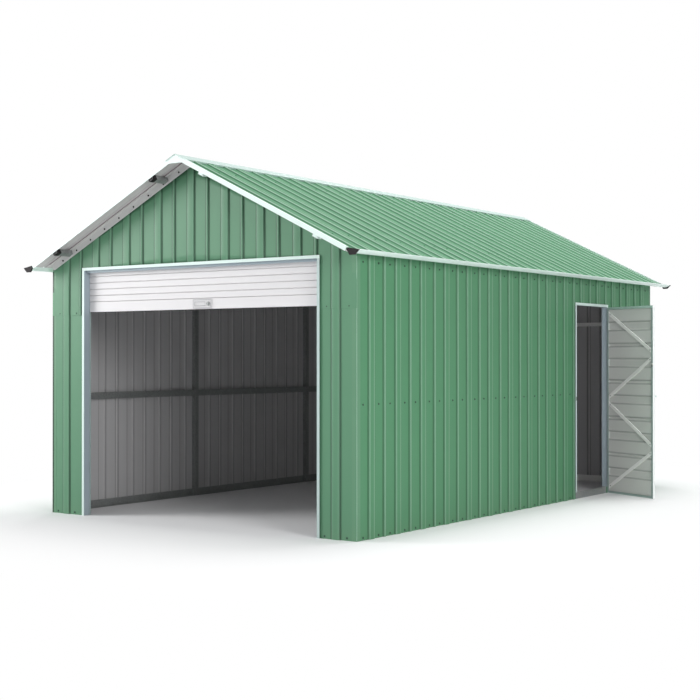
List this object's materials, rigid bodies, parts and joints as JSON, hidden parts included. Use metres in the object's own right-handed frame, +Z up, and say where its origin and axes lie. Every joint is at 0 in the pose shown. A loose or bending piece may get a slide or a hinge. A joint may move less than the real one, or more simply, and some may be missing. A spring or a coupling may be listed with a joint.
{
  "type": "metal storage shed with roller shutter and side door",
  "caption": "Ribbed steel shed on a light frame, with a gable roof, gutters, a part-raised roller shutter and a braced side door that swings on its hinges.",
  "frame": {"origin": "centre of the footprint on the ground, the centre of the four anchor holes", "axes": "+X to the side with the hinged door, +Y from the shutter to the rear wall, +Z up"},
  "size_m": [4.1207, 5.966, 3.0176],
  "materials": {
    "green_sheet": "satin",
    "green_trim": "satin",
    "roof_sheet": "satin",
    "white_trim": "satin",
    "shutter_white": "satin",
    "galvanised": "dull",
    "jamb_steel": "satin",
    "door_sheet": "satin",
    "lock_metal": "satin",
    "black_plastic": "matte"
  },
  "bodies": {
    "shed": {"front_wall_left": "green_sheet", "front_wall_right": "green_sheet", "front_gable": "green_sheet", "left_wall": "green_sheet", "rear_wall": "green_sheet", "right_wall_front": "green_sheet", "right_wall_over_door": "green_sheet", "right_wall_rear": "green_sheet", "corner_flashings": "green_trim", "roof_left": "roof_sheet", "roof_right": "roof_sheet", "ridge_cap": "white_trim", "fascia_front": "white_trim", "fascia_rear": "white_trim", "gable_trims": "white_trim", "gutter_left": "white_trim", "gutter_right": "white_trim", "gutter_caps": "black_plastic", "base_rail_left": "galvanised", "base_rail_right": "galvanised", "base_rail_rear": "galvanised", "base_rails_front": "galvanised", "posts_left": "galvanised", "posts_right": "galvanised", "side_girts": "galvanised", "rear_rail": "galvanised", "eave_rails": "galvanised", "rafters_left": "galvanised", "rafters_right": "galvanised", "purlins_left": "galvanised", "purlins_right": "galvanised", "front_jamb_left": "white_trim", "front_jamb_right": "white_trim", "front_head": "white_trim", "shutter_curtain": "shutter_white", "shutter_bottom_bar": "shutter_white", "shutter_lock": "lock_metal", "shutter_roll": "shutter_white", "shutter_brackets": "galvanised", "side_jambs": "jamb_steel", "side_head": "white_trim"},
    "side_door": {"door_skin": "door_sheet", "door_frame": "jamb_steel", "door_braces": "galvanised", "door_handle": "lock_metal"}
  },
  "joints": [
    {"name": "side_door_hinge", "type": "hinge", "parent": "shed", "child": "side_door", "pos_m": [1.684, 1.64, 0.94], "axis": [0, 0, 1], "range_deg": [-63, 87]}
  ]
}
